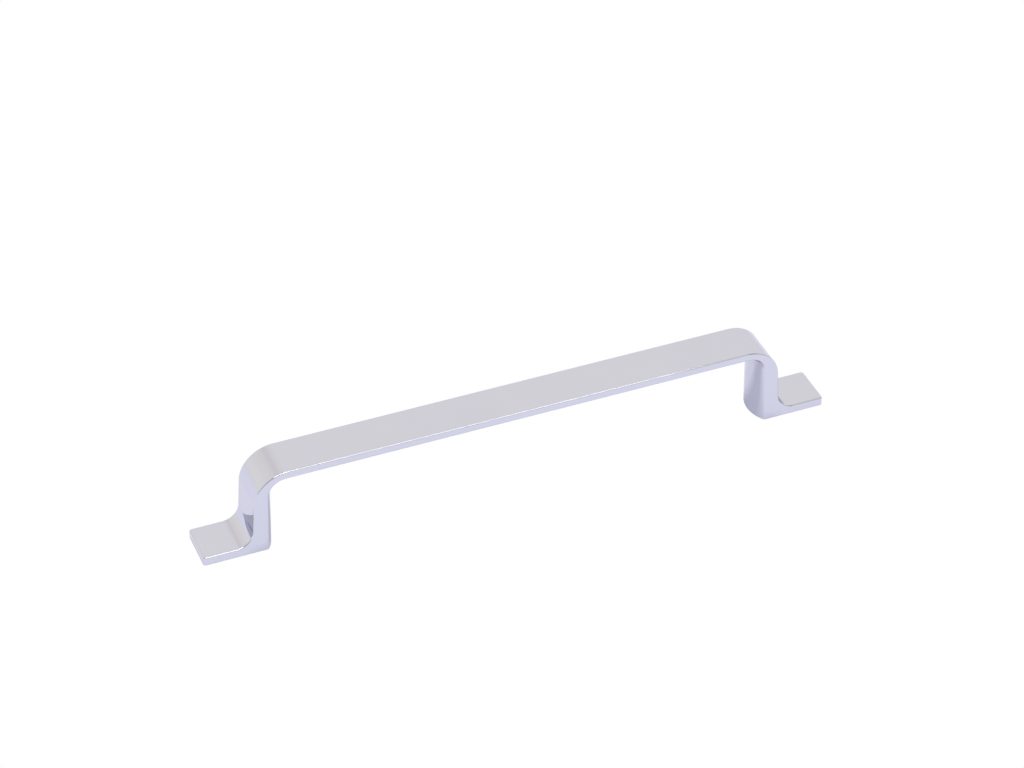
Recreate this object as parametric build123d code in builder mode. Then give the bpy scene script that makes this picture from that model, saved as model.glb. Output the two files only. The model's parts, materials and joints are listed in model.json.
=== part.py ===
"""Strap handle for a cabinet door or drawer: one casting with a flat strap, two legs and two feet."""

import os
from math import radians, tan

from build123d import *

# Driving dimensions, in millimetres and degrees
hole_spacing = 160.0  # between the two fixing screws
height = 27.2  # base to the top of the strap
strap_width = 14.0
strap_thickness = 2.6
foot_thickness = 2.9
foot_reach = 19.2  # screw axis to the end of the foot
leg_outer_reach = 3.5  # screw axis to the leg's outer face, at half height
leg_splay = 3.7  # lean of the leg's outer face from upright
boss_reach = 3.4  # screw axis to the crest of the leg's rounded inner side, at half height
boss_crown = 2.4  # how far that crest stands in from the leg's edges, at half height
boss_draft = 1.7  # lean of the rounded inner side, which lets the casting core draw out
outer_bend_radius = 10.9  # strap into leg, outside
inner_bend_radius = 5.3  # strap into leg, inside
heel_radius = 5.2  # hollow between leg and foot
toe_corner_radius = 0.9  # upright corners at the foot's end
polished_edge_radius = 0.5  # every edge that shows
base_edge_radius = 0.25  # edges that meet the door
screw_drill_diameter = 3.3  # tapping drill of an M4 screw
screw_hole_depth = 13.0
drill_point_angle = 118.0
screw_mouth_chamfer = 0.4
core_overrun = 1.5  # how far the casting core runs past each side of the strap

# Places that follow from them
half_height = height / 2
half_width = strap_width / 2
screw_x = hole_spacing / 2
splay_slope = tan(radians(leg_splay))
shoulder_x = screw_x + leg_outer_reach - half_height * splay_slope
heel_x = screw_x + leg_outer_reach + (half_height - foot_thickness) * splay_slope
toe_x = screw_x + foot_reach

gap_height = height - strap_thickness
draft_slope = tan(radians(boss_draft))
boss_radius = (half_width**2 + boss_crown**2) / (2 * boss_crown)
boss_base_radius = boss_radius - half_height * draft_slope
boss_axis_x = screw_x - boss_reach + boss_radius
core_width = strap_width + 2 * (core_overrun + gap_height * draft_slope)

drill_radius = screw_drill_diameter / 2
drill_point = drill_radius / tan(radians(drill_point_angle / 2))


# Finger gap: the space under the strap, as the casting core that leaves it. Its ends are hollow, so that
# each leg keeps a rounded inner side with room for the screw.
with BuildPart() as finger_gap:
    with BuildSketch():
        Rectangle(2 * boss_axis_x, core_width)
        with Locations((-boss_axis_x, 0), (boss_axis_x, 0)):
            Circle(boss_base_radius, mode=Mode.SUBTRACT)
    extrude(amount=gap_height, taper=boss_draft)
    gap_ends = finger_gap.edges().group_by(Axis.Z)[-1].filter_by(GeomType.CIRCLE)
    fillet(gap_ends, inner_bend_radius)

# Screw hole: blind, with a drill point and a broken mouth, as it stands over the base
with BuildPart() as screw_hole:
    with BuildSketch(Plane.XZ):
        with BuildLine():
            Polyline(
                (0, 0),
                (drill_radius + screw_mouth_chamfer, 0),
                (drill_radius, screw_mouth_chamfer),
                (drill_radius, screw_hole_depth),
                (0, screw_hole_depth + drill_point),
                close=True,
            )
        make_face()
    revolve(axis=Axis.Z)

# Handle: the side view drawn out to the strap's width, then cored, rounded and drilled
right_side = [(shoulder_x, height), (heel_x, foot_thickness), (toe_x, foot_thickness), (toe_x, 0)]
left_side = [(-x, z) for x, z in reversed(right_side)]
right_radii = [outer_bend_radius, heel_radius, 0, 0]
left_radii = list(reversed(right_radii))

with BuildPart() as strap_handle:
    with BuildSketch(Plane.XZ):
        with BuildLine():
            FilletPolyline(right_side, left_side, radius=right_radii + left_radii, close=True)
        make_face()
    extrude(amount=half_width, both=True)
    fillet(strap_handle.edges().filter_by(Axis.Z), toe_corner_radius)
    add(finger_gap.part, mode=Mode.SUBTRACT)

    # Both side faces meet the rest at edges that are polished round, apart from those on the base
    side_faces = strap_handle.faces().filter_by(Axis.Y)
    base_edges = strap_handle.faces().sort_by(Axis.Z)[:2].edges()
    toe_seams = strap_handle.edges().filter_by(Axis.Z)
    fillet(side_faces.edges() - base_edges - toe_seams, polished_edge_radius)
    fillet(strap_handle.faces().sort_by(Axis.Z)[:2].edges(), base_edge_radius)

    with Locations((-screw_x, 0, 0), (screw_x, 0, 0)):
        add(screw_hole.part, mode=Mode.SUBTRACT)

strap_handle.part.label = "strap_handle"

os.makedirs("parts", exist_ok=True)
export_step(strap_handle.part, "parts/strap_handle.step")
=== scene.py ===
"""Strap handle for a cabinet door: a mirror-polished chrome casting on a pale floor in soft studio light."""

import json
import logging
import math
from collections.abc import Callable, Iterator
from contextlib import contextmanager
from dataclasses import dataclass, field
from enum import Enum

import bmesh
import bpy
from mathutils import Matrix, Vector


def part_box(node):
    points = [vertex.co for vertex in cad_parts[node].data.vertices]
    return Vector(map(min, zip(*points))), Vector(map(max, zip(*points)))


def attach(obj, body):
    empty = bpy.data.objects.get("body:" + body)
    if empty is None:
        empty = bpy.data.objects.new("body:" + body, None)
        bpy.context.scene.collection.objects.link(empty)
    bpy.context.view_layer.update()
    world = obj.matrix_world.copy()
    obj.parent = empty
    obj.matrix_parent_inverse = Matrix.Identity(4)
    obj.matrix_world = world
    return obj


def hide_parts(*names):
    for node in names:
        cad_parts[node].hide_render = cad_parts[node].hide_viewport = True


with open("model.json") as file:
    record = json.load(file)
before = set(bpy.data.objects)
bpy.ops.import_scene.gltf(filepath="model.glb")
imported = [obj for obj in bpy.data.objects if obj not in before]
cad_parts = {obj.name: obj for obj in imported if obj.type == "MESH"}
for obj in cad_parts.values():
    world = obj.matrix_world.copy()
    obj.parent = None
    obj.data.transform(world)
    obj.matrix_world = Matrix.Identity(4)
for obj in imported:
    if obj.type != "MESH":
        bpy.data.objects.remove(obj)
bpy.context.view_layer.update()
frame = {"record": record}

log = logging.getLogger("strap_handle")

MM = 0.001  # metres in a millimetre
REACH = 1e-3  # millimetres within which a point counts as at a place
MERGE_REACH = 1e-4  # millimetres within which two points become one
FACING = 0.99  # least part of a face's normal along an axis for the face to look that way
ROUND_PROFILE = 0.5  # profile of a bevel that is part of a circle
MIX_FACTOR, MIX_FIRST, MIX_SECOND = 0, 6, 7  # input sockets of a mix of two colours
MIX_RESULT = 2  # its output socket
BODY = "root"
HANDLE_NODE = "strap_handle"
PLAIN_WHITE = "#ffffff"
WARM_WHITE = "#fffced"

ElementTest = Callable[[bmesh.types.BMFace | bmesh.types.BMEdge | bmesh.types.BMVert], bool]


class Side(Enum):
    """The two ends of the handle, with the sign of X there."""

    LEFT = -1
    RIGHT = 1


class Element(Enum):
    """What a selection is made of, with the name of its list in a mesh."""

    FACE = "faces"
    EDGE = "edges"
    VERT = "verts"


def linear(hex_colour: str) -> tuple[float, float, float, float]:
    """Turn an sRGB hex colour into linear RGBA.

    Args:
        hex_colour: Six hex digits after a hash sign.

    Returns:
        Red, green, blue and alpha for a shader socket.
    """
    channels = [int(hex_colour[i : i + 2], 16) / 255 for i in (1, 3, 5)]
    curve = [c / 12.92 if c <= 0.04045 else ((c + 0.055) / 1.055) ** 2.4 for c in channels]
    return (*curve, 1.0)


def add_node(
    tree: bpy.types.NodeTree,
    kind: str,
    settings: dict[str | int, object] | None = None,
    links: dict[str | int, bpy.types.NodeSocket] | None = None,
) -> bpy.types.Node:
    """Add one node with its settings and links.

    Args:
        tree: The node tree that gets the node.
        kind: Blender's type name of the node.
        settings: Values by input socket name or place, or by property name where no socket has that name.
        links: Output sockets to plug in, by input socket name or place.

    Returns:
        The new node.
    """
    node = tree.nodes.new(kind)
    for name, value in (settings or {}).items():
        if isinstance(name, int) or name in node.inputs:
            node.inputs[name].default_value = value
        else:
            setattr(node, name, value)
    for name, socket in (links or {}).items():
        tree.links.new(socket, node.inputs[name])
    return node


def plain_when_bare(
    tree: bpy.types.NodeTree, shading: bpy.types.NodeSocket, white_kind: str, output: str
) -> None:
    """Show flat white where something is looked at directly, and its own shading where metal mirrors it.

    Args:
        tree: The node tree of the sheet or the room.
        shading: The shader that the metal mirrors.
        white_kind: Blender's type name of the flat white shader.
        output: Name of the tree's output node.
    """
    direct = add_node(tree, "ShaderNodeLightPath").outputs["Is Camera Ray"]
    white = add_node(tree, white_kind, {"Color": linear(PLAIN_WHITE)})
    both = add_node(tree, "ShaderNodeMixShader", links={0: direct, 1: shading, 2: white.outputs[0]})
    tree.links.new(both.outputs["Shader"], tree.nodes[output].inputs["Surface"])


def deselect_all() -> None:
    """Leave edit mode and select nothing."""
    if bpy.context.object and bpy.context.object.mode != "OBJECT":
        bpy.ops.object.mode_set(mode="OBJECT")
    bpy.ops.object.select_all(action="DESELECT")


def make_active(piece: bpy.types.Object) -> None:
    """Select one piece alone and make it the active one.

    Args:
        piece: The piece to select.
    """
    deselect_all()
    piece.select_set(True)
    bpy.context.view_layer.objects.active = piece


@contextmanager
def editing(piece: bpy.types.Object) -> Iterator[None]:
    """Work on one piece in edit mode, starting with nothing selected.

    Args:
        piece: The piece to work on.

    Yields:
        Nothing. The piece is in edit mode meanwhile.
    """
    make_active(piece)
    bpy.ops.object.mode_set(mode="EDIT")
    bpy.ops.mesh.select_all(action="DESELECT")
    yield
    bpy.ops.object.mode_set(mode="OBJECT")


def pick(piece: bpy.types.Object, element: Element, test: ElementTest) -> int:
    """Select only the faces, edges or vertices that pass a test, in edit mode.

    Args:
        piece: The piece in edit mode.
        element: Whether faces, edges or vertices are picked.
        test: Says whether one of them is wanted.

    Returns:
        How many are selected.
    """
    bpy.ops.mesh.select_mode(type=element.name)
    bpy.ops.mesh.select_all(action="DESELECT")
    mesh = bmesh.from_edit_mesh(piece.data)
    mesh.normal_update()
    wanted = [item for item in getattr(mesh, element.value) if test(item)]
    for item in wanted:
        item.select_set(True)
    bmesh.update_edit_mesh(piece.data)
    return len(wanted)


def near(value: float, place: float) -> bool:
    """Say whether a coordinate is at a place."""
    return abs(value - place) < REACH


def round_over(offset: float, steps: int) -> None:
    """Bevel the selected edges to a round of so many steps."""
    bpy.ops.mesh.bevel(
        offset=offset,
        offset_type="OFFSET",
        affect="EDGES",
        segments=steps,
        profile=ROUND_PROFILE,
        clamp_overlap=False,
    )


def add_block(name: str, low: Vector, high: Vector) -> bpy.types.Object:
    """Add a rectangular block.

    Args:
        name: Name of the new object.
        low: Its lowest corner.
        high: Its highest corner.

    Returns:
        The block, with its place and size in its mesh.
    """
    deselect_all()
    bpy.ops.mesh.primitive_cube_add(size=1, location=(low + high) / 2, scale=high - low)
    block = bpy.context.object
    block.name = name
    bpy.ops.object.transform_apply(location=True, rotation=True, scale=True)
    return block


def cut_away(piece: bpy.types.Object, tool: bpy.types.Object) -> None:
    """Cut a tool's shape out of a piece and remove the tool.

    Args:
        piece: The piece that is cut.
        tool: The closed shape to take away.
    """
    make_active(piece)
    cut = piece.modifiers.new("cut", "BOOLEAN")
    cut.operation = "DIFFERENCE"
    cut.solver = "EXACT"
    cut.object = tool
    bpy.ops.object.modifier_apply(modifier=cut.name)
    bpy.data.objects.remove(tool, do_unlink=True)


def to_metres(piece: bpy.types.Object) -> None:
    """Bring a piece that was modelled in millimetres to metres, about the frame's origin.

    Args:
        piece: The piece, in millimetres.
    """
    make_active(piece)
    bpy.ops.transform.resize(value=(MM, MM, MM), center_override=(0, 0, 0))
    bpy.ops.object.transform_apply(location=True, rotation=True, scale=True)


@dataclass(frozen=True)
class ChromePlate:
    """Bright chrome over polished zinc: a cool grey mirror.

    Buffing leaves a faint haze that drifts over centimetres, and a trace of waviness that bends reflections
    by a hair. Both are far weaker than the mirror itself.
    """

    bright: str = "#c2c4d6"
    hazy: str = "#bec0d3"
    haze_spread_mm: float = 18.0
    haze_detail: float = 3.0
    wave_spread_mm: float = 9.0
    wave_detail: float = 1.0
    wave_height_mm: float = 0.0004
    clear_roughness: float = 0.035
    hazy_roughness: float = 0.075
    glancing: str = "#ebebf0"  # chromium hardly brightens at a glancing view

    def material(self) -> bpy.types.Material:
        """Make the plating.

        Returns:
            A material named for the plated metal.
        """
        material = bpy.data.materials.new("polished_chrome_plate")
        material.use_nodes = True
        tree = material.node_tree
        shader = tree.nodes["Principled BSDF"]
        shader.inputs["Metallic"].default_value = 1.0
        shader.inputs["Specular Tint"].default_value = linear(self.glancing)
        place = add_node(tree, "ShaderNodeTexCoord").outputs["Object"]

        # Buffing haze, drifting over a few centimetres
        haze = add_node(
            tree,
            "ShaderNodeTexNoise",
            {"Scale": 1 / (self.haze_spread_mm * MM), "Detail": self.haze_detail},
            {"Vector": place},
        )
        tint = add_node(
            tree,
            "ShaderNodeMix",
            {"data_type": "RGBA", MIX_FIRST: linear(self.bright), MIX_SECOND: linear(self.hazy)},
            {MIX_FACTOR: haze.outputs["Fac"]},
        )
        gloss = add_node(
            tree,
            "ShaderNodeMapRange",
            {"To Min": self.clear_roughness, "To Max": self.hazy_roughness},
            {"Value": haze.outputs["Fac"]},
        )

        # Waviness of the polished surface
        wave = add_node(
            tree,
            "ShaderNodeTexNoise",
            {"Scale": 1 / (self.wave_spread_mm * MM), "Detail": self.wave_detail},
            {"Vector": place},
        )
        relief = add_node(
            tree,
            "ShaderNodeBump",
            {"Strength": 1.0, "Distance": self.wave_height_mm * MM},
            {"Height": wave.outputs["Fac"]},
        )
        tree.links.new(tint.outputs[MIX_RESULT], shader.inputs["Base Color"])
        tree.links.new(gloss.outputs["Result"], shader.inputs["Roughness"])
        tree.links.new(relief.outputs["Normal"], shader.inputs["Normal"])
        return material


@dataclass(frozen=True)
class TappedZinc:
    """Bare zinc where the tap cut through the plating: dull grey metal with fine cutting streaks."""

    bright: str = "#a9abad"
    dull: str = "#83868a"
    streak_mm: float = 0.12
    streak_detail: float = 2.0
    streak_stretch: float = 10.0  # how much longer than high a streak is
    roughness: float = 0.42

    def material(self) -> bpy.types.Material:
        """Make the bare metal.

        Returns:
            A material named for the tapped metal.
        """
        material = bpy.data.materials.new("tapped_zinc_alloy")
        material.use_nodes = True
        tree = material.node_tree
        shader = tree.nodes["Principled BSDF"]
        shader.inputs["Metallic"].default_value = 1.0
        shader.inputs["Roughness"].default_value = self.roughness
        place = add_node(tree, "ShaderNodeTexCoord").outputs["Object"]

        # Streaks lie flat round the hole, so the pattern is fine along Z and long across it
        across = 1 / self.streak_stretch
        flat = add_node(tree, "ShaderNodeMapping", {"Scale": (across, across, 1.0)}, {"Vector": place})
        streak = add_node(
            tree,
            "ShaderNodeTexNoise",
            {"Scale": 1 / (self.streak_mm * MM), "Detail": self.streak_detail},
            {"Vector": flat.outputs["Vector"]},
        )
        tint = add_node(
            tree,
            "ShaderNodeMix",
            {"data_type": "RGBA", MIX_FIRST: linear(self.dull), MIX_SECOND: linear(self.bright)},
            {MIX_FACTOR: streak.outputs["Fac"]},
        )
        tree.links.new(tint.outputs[MIX_RESULT], shader.inputs["Base Color"])
        return material


@dataclass(frozen=True)
class BacklitSheet:
    """A matte sheet over a light table: an even pale glow, cool near the handle and neutral further back.

    The bare sheet looks plain white. Only the polished metal shows its glow and the soft shadow on it.
    """

    surface: str = "#86878b"
    cool: str = "#d1d0d7"
    neutral: str = "#d2ced0"
    glow: float = 0.88
    fade_start_mm: float = 85.0
    fade_end_mm: float = 125.0
    roughness: float = 0.95

    def material(self) -> bpy.types.Material:
        """Make the sheet.

        Returns:
            A material named for the sheet.
        """
        material = bpy.data.materials.new("matte_backlit_sheet")
        material.use_nodes = True
        tree = material.node_tree
        shader = tree.nodes["Principled BSDF"]
        shader.inputs["Base Color"].default_value = linear(self.surface)
        shader.inputs["Roughness"].default_value = self.roughness
        shader.inputs["Specular IOR Level"].default_value = 0.0
        shader.inputs["Emission Strength"].default_value = self.glow
        place = add_node(tree, "ShaderNodeTexCoord").outputs["Object"]
        across = add_node(tree, "ShaderNodeSeparateXYZ", links={"Vector": place})
        fade = add_node(
            tree,
            "ShaderNodeMapRange",
            {"From Min": self.fade_start_mm * MM, "From Max": self.fade_end_mm * MM},
            {"Value": across.outputs["Y"]},
        )
        glow = add_node(
            tree,
            "ShaderNodeMix",
            {"data_type": "RGBA", MIX_FIRST: linear(self.cool), MIX_SECOND: linear(self.neutral)},
            {MIX_FACTOR: fade.outputs["Result"]},
        )
        tree.links.new(glow.outputs[MIX_RESULT], shader.inputs["Emission Color"])
        plain_when_bare(tree, shader.outputs["BSDF"], "ShaderNodeEmission", "Material Output")
        return material


@dataclass
class StrapHandle:
    """The one casting: a flat strap, two legs that are rounded inside and two outward feet.

    The overall sizes come from the frame. All lengths are in millimetres, all angles in degrees.
    """

    length: float
    width: float
    height: float
    hole_spacing: float
    strap_thickness: float = 2.6
    foot_thickness: float = 2.9
    leg_outer_reach: float = 3.5  # screw axis to the leg's outer face, at half height
    leg_splay: float = 3.7  # lean of that face from upright
    boss_reach: float = 3.4  # screw axis to the crest of the leg's rounded inner side, at half height
    boss_crown: float = 2.4  # how far that crest stands in from the leg's edges
    boss_draft: float = 1.7  # lean of the rounded inner side
    outer_bend_radius: float = 10.9
    inner_bend_radius: float = 5.3
    heel_radius: float = 5.2
    toe_corner_radius: float = 0.9
    polished_edge_radius: float = 0.5
    base_edge_radius: float = 0.25
    screw_hole_depth: float = 13.0
    drill_point_angle: float = 118.0
    screw_mouth_chamfer: float = 0.4
    thread_radius: float = 2.0
    overrun: float = 0.6  # how far the finger gap's shape stands out past the strap's sides and the base
    sharp_angle: float = 25.0  # faces that meet at more than this keep an edge between them
    level_angle: float = 0.05  # faces that meet at less than this become one
    bend_steps: int = 60
    heel_steps: int = 40
    inner_bend_steps: int = 32
    toe_steps: int = 10
    boss_columns: int = 18
    edge_steps: int = 6
    base_edge_steps: int = 4
    hole_steps: int = 64
    finish: ChromePlate = field(default_factory=ChromePlate)

    def __post_init__(self) -> None:
        """Work out the places that follow from the sizes."""
        splay = math.tan(math.radians(self.leg_splay))
        half_height = self.height / 2
        self.half_width = self.width / 2
        self.screw_x = self.hole_spacing / 2
        self.toe_x = self.length / 2
        self.shoulder_x = self.screw_x + self.leg_outer_reach - half_height * splay
        self.heel_x = self.screw_x + self.leg_outer_reach + (half_height - self.foot_thickness) * splay
        self.gap_height = self.height - self.strap_thickness
        self.draft = math.tan(math.radians(self.boss_draft))
        self.boss_radius = (self.half_width**2 + self.boss_crown**2) / (2 * self.boss_crown)

    def build(self) -> bpy.types.Object:
        """Model the casting.

        Returns:
            The finished piece, in metres.
        """
        handle = self._blank()
        cut_away(handle, self._finger_gap())
        self._round_edges(handle)
        for side in Side:
            cut_away(handle, self._drill(side))
        to_metres(handle)
        self._smooth(handle)
        return handle

    def dress(self, handle: bpy.types.Object) -> None:
        """Give the casting its plating and its place in the frame.

        Args:
            handle: The finished piece.
        """
        handle.data.materials.append(self.finish.material())
        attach(handle, BODY)
        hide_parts(HANDLE_NODE)

    def _blank(self) -> bpy.types.Object:
        """Model the side view at the strap's full width, with the space under the strap still full.

        Returns:
            The blank, in millimetres.
        """
        blank = add_block(
            "chrome_strap_handle",
            Vector((-self.heel_x, -self.half_width, 0)),
            Vector((self.heel_x, self.half_width, self.foot_thickness)),
        )
        with editing(blank):
            # Legs and strap rise from the base slab and lean in
            pick(blank, Element.FACE, lambda face: face.normal.z > FACING)
            rise = self.height - self.foot_thickness
            bpy.ops.mesh.extrude_region_move(TRANSFORM_OT_translate={"value": (0, 0, rise)})
            lean = self.shoulder_x / self.heel_x
            bpy.ops.transform.resize(value=(lean, 1, 1), center_override=(0, 0, self.height))

            # Feet run outwards from the base slab
            for side in Side:
                pick(
                    blank,
                    Element.FACE,
                    lambda face: face.normal.x * side.value > FACING
                    and face.calc_center_median().z < self.foot_thickness,
                )
                reach = side.value * (self.toe_x - self.heel_x)
                bpy.ops.mesh.extrude_region_move(TRANSFORM_OT_translate={"value": (reach, 0, 0)})
            bpy.ops.mesh.select_all(action="SELECT")
            bpy.ops.mesh.dissolve_limited(angle_limit=math.radians(self.level_angle))

            # Bends, heels and the upright corners of the toes
            turn = math.radians(90 - self.leg_splay)
            bends = (
                (self.shoulder_x, self.height, self.outer_bend_radius, self.bend_steps),
                (self.heel_x, self.foot_thickness, self.heel_radius, self.heel_steps),
            )
            for x, z, radius, steps in bends:
                pick(
                    blank,
                    Element.EDGE,
                    lambda edge: all(near(abs(v.co.x), x) and near(v.co.z, z) for v in edge.verts)
                    and near(edge.verts[0].co.x, edge.verts[1].co.x),
                )
                round_over(radius * math.tan(turn / 2), steps)
            pick(
                blank,
                Element.EDGE,
                lambda edge: all(near(abs(v.co.x), self.toe_x) for v in edge.verts)
                and near(edge.verts[0].co.x, edge.verts[1].co.x)
                and near(edge.verts[0].co.y, edge.verts[1].co.y),
            )
            round_over(self.toe_corner_radius, self.toe_steps)
        return blank

    def _crown(self, y: float) -> float:
        """Say how far a leg's rounded inner side stands out at a place across the strap."""
        return math.sqrt(self.boss_radius**2 - y**2) - (self.boss_radius - self.boss_crown)

    def _finger_gap(self) -> bpy.types.Object:
        """Model the space under the strap, with ends that are hollow so that each leg comes out rounded.

        Returns:
            The space as a closed shape, which stands out past the strap's sides and base.
        """
        edge_x = self.screw_x - self.boss_reach + self.boss_crown
        edge_x += (self.height / 2 - self.gap_height) * self.draft
        side_y = self.half_width + self.overrun
        gap = add_block(
            "finger_gap",
            Vector((-edge_x, -side_y, -self.overrun)),
            Vector((edge_x, side_y, self.gap_height)),
        )
        with editing(gap):
            # Columns across the strap, with wide ones at the sides, where the edges are rounded later
            inner_y = self.half_width - 2 * self.polished_edge_radius
            columns = [-inner_y + 2 * inner_y * i / self.boss_columns for i in range(self.boss_columns + 1)]
            for y in columns:
                bpy.ops.mesh.select_all(action="SELECT")
                bpy.ops.mesh.bisect(plane_co=(0, y, 0), plane_no=(0, 1, 0))

            # Each column steps in by the crown there
            for y in [-side_y, *columns, side_y]:
                for side in Side:
                    pick(
                        gap,
                        Element.VERT,
                        lambda v: near(v.co.y, y) and v.co.x * side.value > edge_x - REACH,
                    )
                    shift = -side.value * self._crown(y)
                    bpy.ops.transform.translate(value=(shift, 0, 0))

            # The ends lean outwards towards the base
            spread = (self.gap_height + self.overrun) * self.draft
            for side in Side:
                pick(gap, Element.VERT, lambda v: near(v.co.z, -self.overrun) and v.co.x * side.value > 0)
                bpy.ops.transform.translate(value=(side.value * spread, 0, 0))

            # Inner bends, along the curved ends of the top
            pick(
                gap,
                Element.EDGE,
                lambda edge: all(near(v.co.z, self.gap_height) for v in edge.verts)
                and edge.verts[0].co.x * edge.verts[1].co.x > 0
                and not near(edge.verts[0].co.y, edge.verts[1].co.y),
            )
            turn = math.radians(90 - self.boss_draft)
            round_over(self.inner_bend_radius * math.tan(turn / 2), self.inner_bend_steps)
            bpy.ops.mesh.select_all(action="SELECT")
            bpy.ops.mesh.normals_make_consistent(inside=False)
        return gap

    def _drill(self, side: Side) -> bpy.types.Object:
        """Model one screw hole at the thread's outer diameter, with its drill point and broken mouth.

        Args:
            side: The leg that the hole is in.

        Returns:
            The hole as a closed shape.
        """
        deselect_all()
        wall = self.screw_hole_depth - self.screw_mouth_chamfer
        bpy.ops.mesh.primitive_cylinder_add(
            vertices=self.hole_steps,
            radius=self.thread_radius,
            depth=wall,
            location=(side.value * self.screw_x, 0, self.screw_mouth_chamfer + wall / 2),
        )
        drill = bpy.context.object
        drill.name = f"{side.name.lower()}_drill"
        bpy.ops.object.transform_apply(location=True, rotation=True, scale=True)
        with editing(drill):
            # Drill point at the blind end
            point = self.thread_radius / math.tan(math.radians(self.drill_point_angle / 2))
            pick(drill, Element.FACE, lambda face: face.normal.z > FACING)
            bpy.ops.mesh.extrude_region_move(TRANSFORM_OT_translate={"value": (0, 0, point)})
            bpy.ops.mesh.merge(type="CENTER")

            # Mouth that widens down to the base and runs on past it
            pick(drill, Element.FACE, lambda face: face.normal.z < -FACING)
            down = {"value": (0, 0, -self.screw_mouth_chamfer)}
            bpy.ops.mesh.extrude_region_move(TRANSFORM_OT_translate=down)
            flare = 1 + self.screw_mouth_chamfer / self.thread_radius
            centre = (side.value * self.screw_x, 0, 0)
            bpy.ops.transform.resize(value=(flare, flare, 1), center_override=centre)
            bpy.ops.mesh.extrude_region_move(TRANSFORM_OT_translate=down)
        return drill

    def _round_edges(self, handle: bpy.types.Object) -> None:
        """Round the edges that show, then the finer ones that meet the door.

        Args:
            handle: The cored casting, in millimetres.
        """
        sharp = math.radians(self.sharp_angle)

        def on_base(edge: bmesh.types.BMEdge) -> bool:
            """Say whether an edge lies on the base."""
            return all(near(v.co.z, 0) for v in edge.verts)

        with editing(handle):
            shown = pick(
                handle, Element.EDGE, lambda edge: edge.calc_face_angle(0) > sharp and not on_base(edge)
            )
            round_over(self.polished_edge_radius, self.edge_steps)
            hidden = pick(
                handle, Element.EDGE, lambda edge: edge.calc_face_angle(0) > sharp and on_base(edge)
            )
            round_over(self.base_edge_radius, self.base_edge_steps)
        log.info("rounded %d edges that show and %d on the base", shown, hidden)

    def _smooth(self, handle: bpy.types.Object) -> None:
        """Close the mesh and shade it so that flats stay flat and rounds stay round.

        Args:
            handle: The casting, in metres.
        """
        with editing(handle):
            bpy.ops.mesh.select_all(action="SELECT")
            bpy.ops.mesh.remove_doubles(threshold=MERGE_REACH * MM)
            bpy.ops.mesh.normals_make_consistent(inside=False)
        bpy.ops.object.shade_smooth_by_angle(angle=math.radians(self.sharp_angle))
        weighted = handle.modifiers.new("weighted_normals", "WEIGHTED_NORMAL")
        weighted.keep_sharp = True
        bpy.ops.object.modifier_apply(modifier=weighted.name)


@dataclass
class ScrewThread:
    """The M4 thread inside each leg: one ridge that winds up the hole. Lengths are in millimetres."""

    screw_x: float
    hole_radius: float
    hole_depth: float
    pitch: float = 0.7
    ridge_height: float = 0.38
    crest_width: float = 0.09
    root_width: float = 0.6
    sunk: float = 0.04  # how deep the ridge's root sits in the wall
    mouth_gap: float = 0.6  # base to the first turn
    plain_turns: int = 2  # turns left out at the blind end
    sharp_angle: float = 30.0  # faces that meet at more degrees than this keep an edge between them
    turn_steps: int = 48
    finish: TappedZinc = field(default_factory=TappedZinc)

    def build(self) -> list[bpy.types.Object]:
        """Model one thread and copy it to the other leg.

        Returns:
            The threads of both legs, in metres.
        """
        ridge = self._ridge()
        threads = []
        for side in Side:
            thread = ridge.copy()
            thread.data = ridge.data.copy()
            thread.name = f"{side.name.lower()}_screw_thread"
            bpy.context.collection.objects.link(thread)
            make_active(thread)
            bpy.ops.transform.translate(value=(side.value * self.screw_x, 0, 0))
            bpy.ops.object.transform_apply(location=True, rotation=True, scale=True)
            to_metres(thread)
            threads.append(thread)
        bpy.data.objects.remove(ridge, do_unlink=True)
        return threads

    def dress(self, threads: list[bpy.types.Object]) -> None:
        """Give the threads their bare metal and their place in the frame.

        Args:
            threads: The finished threads.
        """
        material = self.finish.material()
        for thread in threads:
            thread.data.materials.append(material)
            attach(thread, BODY)

    def _ridge(self) -> bpy.types.Object:
        """Wind the ridge's section up the Z axis and close both ends.

        Returns:
            The ridge, in millimetres, round the Z axis.
        """
        deselect_all()
        crest = self.hole_radius - self.ridge_height
        root = self.hole_radius + self.sunk
        bpy.ops.mesh.primitive_plane_add(
            size=1,
            location=((crest + root) / 2, 0, self.mouth_gap + self.root_width / 2),
            rotation=(math.radians(90), 0, 0),
            scale=(root - crest, self.root_width, 1),
        )
        ridge = bpy.context.object
        ridge.name = "screw_thread"
        bpy.ops.object.transform_apply(location=True, rotation=True, scale=True)
        corners = len(ridge.data.vertices)
        with editing(ridge):
            middle = (crest, 0, self.mouth_gap + self.root_width / 2)
            pick(ridge, Element.VERT, lambda v: near(v.co.x, crest))
            narrow = self.crest_width / self.root_width
            bpy.ops.transform.resize(value=(1, 1, narrow), center_override=middle)
            bpy.ops.mesh.select_all(action="SELECT")
            bpy.ops.mesh.delete(type="ONLY_FACE")
        screw = ridge.modifiers.new("winding", "SCREW")
        screw.axis = "Z"
        screw.angle = math.tau
        screw.screw_offset = self.pitch
        screw.iterations = int((self.hole_depth - self.mouth_gap) / self.pitch) - self.plain_turns
        screw.steps = self.turn_steps
        screw.render_steps = self.turn_steps
        bpy.ops.object.modifier_apply(modifier=screw.name)
        with editing(ridge):
            bpy.ops.mesh.select_mode(type="EDGE")
            bpy.ops.mesh.select_non_manifold()
            bpy.ops.mesh.fill_holes(sides=corners)
            bpy.ops.mesh.select_all(action="SELECT")
            bpy.ops.mesh.normals_make_consistent(inside=False)
        bpy.ops.object.shade_smooth_by_angle(angle=math.radians(self.sharp_angle))
        return ridge


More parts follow.
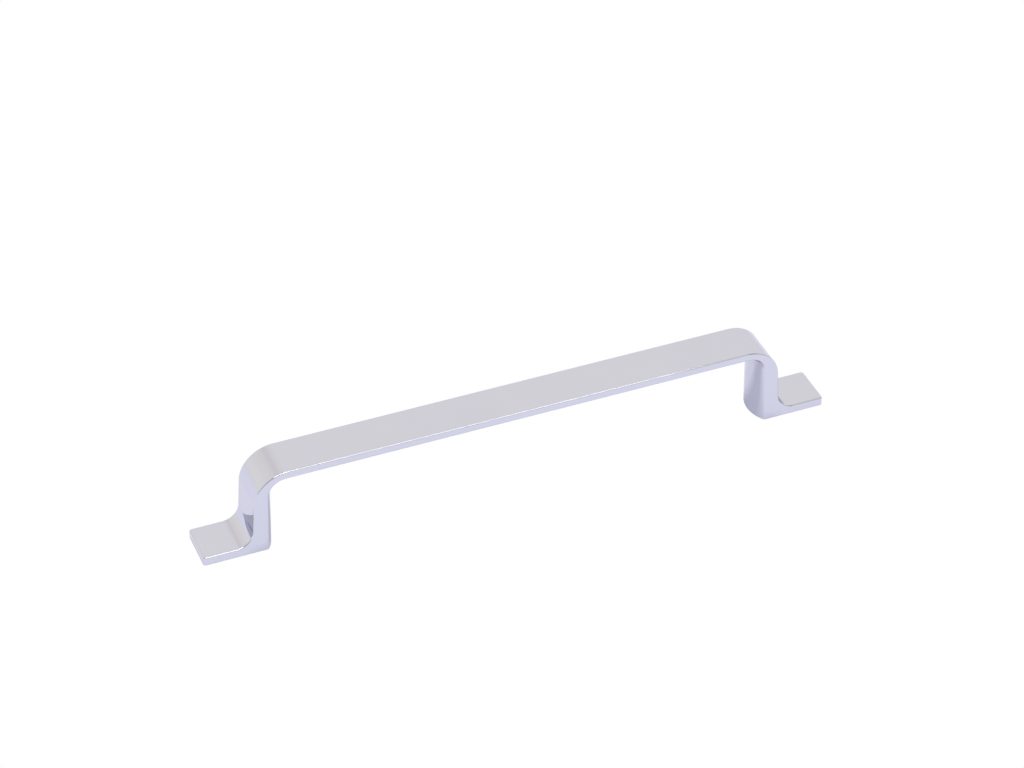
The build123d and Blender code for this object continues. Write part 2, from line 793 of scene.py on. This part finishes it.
@dataclass(frozen=True)
class SoftBox:
    """One soft light, given by where it stands as seen from the handle. Metres, degrees and watts."""

    name: str
    azimuth: float
    elevation: float
    distance: float
    width: float
    height: float
    power: float
    colour: str = WARM_WHITE
    mirrored: bool = True  # whether polished metal shows it

    def build(self) -> None:
        """Hang the light and turn it to the handle."""
        azimuth = math.radians(self.azimuth)
        elevation = math.radians(self.elevation)
        flat = math.cos(elevation)
        towards = Vector((math.sin(azimuth) * flat, -math.cos(azimuth) * flat, math.sin(elevation)))
        deselect_all()
        bpy.ops.object.light_add(type="AREA", location=towards * self.distance)
        light = bpy.context.object
        light.name = self.name
        light.rotation_euler = (-towards).to_track_quat("-Z", "Y").to_euler()
        light.data.shape = "RECTANGLE"
        light.data.size = self.width
        light.data.size_y = self.height
        light.data.energy = self.power
        light.data.color = linear(self.colour)[:3]
        light.visible_glossy = self.mirrored


@dataclass(frozen=True)
class WhiteRoom:
    """The pale room round the handle, as a colour for each direction.

    Two pale, slightly warm walls stand behind, with a soft darker seam between them. In front the room has
    two dimmer stretches, and the ceiling is dimmest at the middle. All this shows only in the polished metal:
    the bare room looks plain white. Places are the X part of a direction, from -1 at the left to 1 at the
    right.
    """

    strength: float = 1.217
    walls: tuple[tuple[float, str], ...] = (
        (-0.66, "#fffbea"),
        (-0.50, "#fcf6e7"),
        (-0.36, "#f9f2e4"),
        (-0.19, "#f0eadd"),
        (0.03, "#faf5e8"),
        (0.15, "#fdf9ec"),
    )
    front: tuple[tuple[float, str], ...] = (
        (-0.60, "#d2d0c5"),
        (-0.36, "#b8b6ac"),
        (-0.08, "#e0ddd2"),
        (0.20, "#f0ede0"),
        (0.36, "#e6e3d7"),
        (0.42, "#c8c6bb"),
        (0.66, "#c8c6bb"),
        (0.80, "#e0ddd2"),
    )
    ceiling: tuple[tuple[float, str], ...] = (
        (-0.60, "#d0cec3"),
        (-0.10, "#c0beb4"),
        (0.12, "#c8c6bb"),
        (0.22, "#dcdace"),
        (0.34, "#ece9dd"),
    )
    below: str = "#fbf8f2"
    front_ends: float = -0.1
    back_starts: float = 0.35
    ceiling_starts: float = 0.82
    ceiling_full: float = 0.93

    def build(self) -> None:
        """Make the room the scene's surroundings."""
        world = bpy.data.worlds.new("white_room")
        bpy.context.scene.world = world
        world.use_nodes = True
        tree = world.node_tree
        background = tree.nodes["Background"]
        background.inputs["Strength"].default_value = self.strength
        towards = add_node(tree, "ShaderNodeTexCoord").outputs["Generated"]
        part = add_node(tree, "ShaderNodeSeparateXYZ", links={"Vector": towards})
        across = add_node(tree, "ShaderNodeMapRange", {"From Min": -1.0}, {"Value": part.outputs["X"]})
        behind = add_node(
            tree,
            "ShaderNodeMapRange",
            {
                "interpolation_type": "SMOOTHSTEP",
                "From Min": self.front_ends,
                "From Max": self.back_starts,
            },
            {"Value": part.outputs["Y"]},
        )
        overhead = add_node(
            tree,
            "ShaderNodeMapRange",
            {
                "interpolation_type": "SMOOTHSTEP",
                "From Min": self.ceiling_starts,
                "From Max": self.ceiling_full,
            },
            {"Value": part.outputs["Z"]},
        )
        front, walls, ceiling = (
            self._stripes(tree, stops, across.outputs["Result"])
            for stops in (self.front, self.walls, self.ceiling)
        )
        sides = add_node(
            tree,
            "ShaderNodeMix",
            {"data_type": "RGBA"},
            {MIX_FACTOR: behind.outputs["Result"], MIX_FIRST: front, MIX_SECOND: walls},
        )
        upper = add_node(
            tree,
            "ShaderNodeMix",
            {"data_type": "RGBA"},
            {
                MIX_FACTOR: overhead.outputs["Result"],
                MIX_FIRST: sides.outputs[MIX_RESULT],
                MIX_SECOND: ceiling,
            },
        )
        above = add_node(
            tree, "ShaderNodeMath", {"operation": "GREATER_THAN", 1: 0.0}, {0: part.outputs["Z"]}
        )
        room = add_node(
            tree,
            "ShaderNodeMix",
            {"data_type": "RGBA", MIX_FIRST: linear(self.below)},
            {MIX_FACTOR: above.outputs["Value"], MIX_SECOND: upper.outputs[MIX_RESULT]},
        )
        tree.links.new(room.outputs[MIX_RESULT], background.inputs["Color"])
        plain_when_bare(tree, background.outputs["Background"], "ShaderNodeBackground", "World Output")

    @staticmethod
    def _stripes(
        tree: bpy.types.NodeTree, stops: tuple[tuple[float, str], ...], across: bpy.types.NodeSocket
    ) -> bpy.types.NodeSocket:
        """Blend colours from left to right.

        Args:
            tree: The room's node tree.
            stops: Place and colour of each stop.
            across: The place, brought to the range from 0 to 1.

        Returns:
            The blended colour.
        """
        stripes = add_node(tree, "ShaderNodeValToRGB", links={"Fac": across})
        ramp = stripes.color_ramp
        ramp.interpolation = "EASE"
        while len(ramp.elements) < len(stops):
            ramp.elements.new(1.0)
        for element, (place, colour) in zip(ramp.elements, stops):
            element.position = (place + 1) / 2
            element.color = linear(colour)
        return stripes.outputs["Color"]


@dataclass
class Studio:
    """The floor, the light and the camera. Lengths are in metres, angles in degrees."""

    floor_low: tuple[float, float, float] = (-0.6, -0.6, 0)
    floor_high: tuple[float, float, float] = (0.6, 0.125, 0)
    camera_aim: tuple[float, float, float] = (-0.00068, 0.00014, 0.03253)
    camera_distance: float = 0.92757
    camera_azimuth: float = 22.424
    camera_elevation: float = 38.503
    camera_roll: float = 0.304
    camera_near: float = 0.01  # nearest distance that the camera shows
    focal_pixels: float = 3175.7
    image_width: int = 1024
    sheet: BacklitSheet = field(default_factory=BacklitSheet)
    room: WhiteRoom = field(default_factory=WhiteRoom)
    boxes: tuple[SoftBox, ...] = (
        SoftBox("front_box", azimuth=-8.6, elevation=65, distance=1.07, width=1.06, height=0.16, power=2.8),
        SoftBox("left_box", azimuth=-25, elevation=64, distance=1.07, width=0.8, height=0.16, power=1.3),
        SoftBox(
            "top_box",
            azimuth=0,
            elevation=90,
            distance=2.0,
            width=0.6,
            height=0.6,
            power=62.0,
            mirrored=False,
        ),
    )

    def build(self) -> None:
        """Set up the whole studio."""
        self._floor()
        self.room.build()
        for box in self.boxes:
            box.build()
        self._camera()
        bpy.context.scene.view_settings.view_transform = "Standard"
        bpy.context.scene.cycles.use_denoising = True

    def _floor(self) -> None:
        """Lay a plain pale sheet under the handle."""
        deselect_all()
        low, high = Vector(self.floor_low), Vector(self.floor_high)
        bpy.ops.mesh.primitive_plane_add(size=1, location=(low + high) / 2, scale=high - low)
        floor = bpy.context.object
        floor.name = "floor"
        bpy.ops.object.transform_apply(location=True, rotation=True, scale=True)
        floor.data.materials.append(self.sheet.material())

    def _camera(self) -> None:
        """Place the camera at the photograph's view."""
        azimuth = math.radians(self.camera_azimuth)
        elevation = math.radians(self.camera_elevation)
        roll = math.radians(self.camera_roll)
        flat = math.cos(elevation)
        forward = Vector((math.sin(azimuth) * flat, math.cos(azimuth) * flat, -math.sin(elevation)))
        level = Vector((math.cos(azimuth), -math.sin(azimuth), 0))
        upright = level.cross(forward)
        right = level * math.cos(roll) + upright * math.sin(roll)
        up = upright * math.cos(roll) - level * math.sin(roll)

        deselect_all()
        bpy.ops.object.camera_add()
        camera = bpy.context.object
        camera.name = "camera"
        turn = Matrix((right, up, -forward)).transposed()
        camera.rotation_euler = turn.to_euler()
        camera.location = Vector(self.camera_aim) - forward * self.camera_distance
        camera.data.sensor_fit = "HORIZONTAL"
        camera.data.lens = self.focal_pixels * camera.data.sensor_width / self.image_width
        camera.data.clip_start = self.camera_near
        bpy.context.scene.camera = camera


def main() -> None:
    """Build the handle, its threads and the studio, and report each piece."""
    logging.basicConfig(level=logging.INFO, format="%(name)s: %(message)s")
    low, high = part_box(HANDLE_NODE)
    size = (Vector(high) - Vector(low)) / MM
    holes = next(mount for mount in frame["record"]["mounts"] if mount["kind"] == "bolt_pattern")

    handle = StrapHandle(*size, hole_spacing=holes["dims"]["spacing_x_mm"])
    casting = handle.build()
    handle.dress(casting)
    log.info("%s: %d faces", casting.name, len(casting.data.polygons))

    thread = ScrewThread(handle.screw_x, handle.thread_radius, handle.screw_hole_depth)
    ridges = thread.build()
    thread.dress(ridges)
    for ridge in ridges:
        log.info("%s: %d faces", ridge.name, len(ridge.data.polygons))

    Studio().build()


if __name__ == "__main__":
    main()
